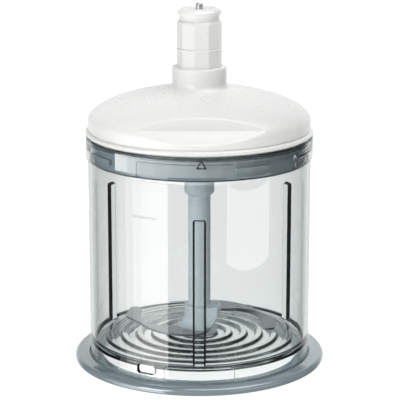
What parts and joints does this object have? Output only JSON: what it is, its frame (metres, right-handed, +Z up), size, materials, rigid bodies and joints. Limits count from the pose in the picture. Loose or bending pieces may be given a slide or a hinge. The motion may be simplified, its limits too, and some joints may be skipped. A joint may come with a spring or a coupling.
{
  "type": "food processor chopper attachment",
  "caption": "Chopper attachment of a food processor: clear bowl on a base ring, S-shaped blades on a spindle, and a geared white lid with a drive coupling.",
  "frame": {"origin": "centre of the footprint on the table, under the spindle axis", "axes": "+Z up along the spindle and drive axis, -Y towards the front with the grip recess, +X to the right seen from the front"},
  "size_m": [0.1596, 0.1596, 0.2284],
  "materials": {
    "white_plastic": "satin",
    "clear_plastic": "clear gloss",
    "smoke_plastic": "gloss",
    "cover_plastic": "gloss",
    "hub_plastic": "satin",
    "blade_steel": "ground",
    "pin_steel": "bright",
    "dark_steel": "blackened",
    "bronze": "machined",
    "gear_plastic": "natural",
    "grip_rubber": "matt",
    "seal_silicone": "matt"
  },
  "bodies": {
    "base": {"base_ring": "smoke_plastic", "grip_ring": "grip_rubber"},
    "bowl": {"bowl": "clear_plastic", "bowl_pin": "pin_steel"},
    "blade": {"blade_hub": "hub_plastic", "lower_blade": "blade_steel", "upper_blade": "blade_steel", "hub_bush": "bronze"},
    "seal": {"lid_seal": "seal_silicone"},
    "lid": {"lid_shell": "white_plastic", "gear_cover": "cover_plastic", "cover_screws": "pin_steel", "sleeve_lower": "white_plastic", "sleeve_upper": "white_plastic", "coupling_cap": "white_plastic", "input_bush": "bronze", "ring_gear": "gear_plastic", "thrust_washer": "dark_steel", "output_bush": "bronze", "output_seal": "grip_rubber"},
    "input": {"input_shaft": "pin_steel", "retaining_clip": "dark_steel", "sun_gear": "pin_steel"},
    "carrier": {"planet_carrier": "gear_plastic", "planet_pins": "pin_steel"},
    "planet_1": {"planet_gear_1": "gear_plastic"},
    "planet_2": {"planet_gear_2": "gear_plastic"},
    "planet_3": {"planet_gear_3": "gear_plastic"}
  },
  "joints": [
    {"name": "bowl_lift", "type": "slide", "parent": "base", "child": "bowl", "axis": [0, 0, 1], "range_m": [0, 0.05]},
    {"name": "lid_lift", "type": "slide", "parent": "bowl", "child": "seal", "axis": [0, 0, 1], "range_m": [0, 0.12]},
    {"name": "lid_turn", "type": "hinge", "parent": "seal", "child": "lid", "pos_m": [0, 0, 0.14], "axis": [0, 0, 1], "range_deg": [-18, 0]},
    {"name": "input_spin", "type": "hinge", "parent": "lid", "child": "input", "pos_m": [0, 0, 0.19], "axis": [0, 0, 1], "continuous": true},
    {"name": "carrier_spin", "type": "hinge", "parent": "lid", "child": "carrier", "pos_m": [0, 0, 0.15], "axis": [0, 0, 1], "continuous": true},
    {"name": "blade_spin", "type": "hinge", "parent": "bowl", "child": "blade", "pos_m": [0, 0, 0.03], "axis": [0, 0, 1], "continuous": true},
    {"name": "planet_spin_1", "type": "hinge", "parent": "carrier", "child": "planet_1", "pos_m": [0.015, 0, 0.156], "axis": [0, 0, 1], "continuous": true},
    {"name": "planet_spin_2", "type": "hinge", "parent": "carrier", "child": "planet_2", "pos_m": [-0.0075, 0.01299, 0.156], "axis": [0, 0, 1], "continuous": true},
    {"name": "planet_spin_3", "type": "hinge", "parent": "carrier", "child": "planet_3", "pos_m": [-0.0075, -0.01299, 0.156], "axis": [0, 0, 1], "continuous": true}
  ],
  "couplings": [
    {"joint": "input_spin", "follows": "blade_spin", "ratio": 5},
    {"joint": "carrier_spin", "follows": "blade_spin", "ratio": 1},
    {"joint": "planet_spin_1", "follows": "blade_spin", "ratio": -2.6667},
    {"joint": "planet_spin_2", "follows": "blade_spin", "ratio": -2.6667},
    {"joint": "planet_spin_3", "follows": "blade_spin", "ratio": -2.6667}
  ]
}
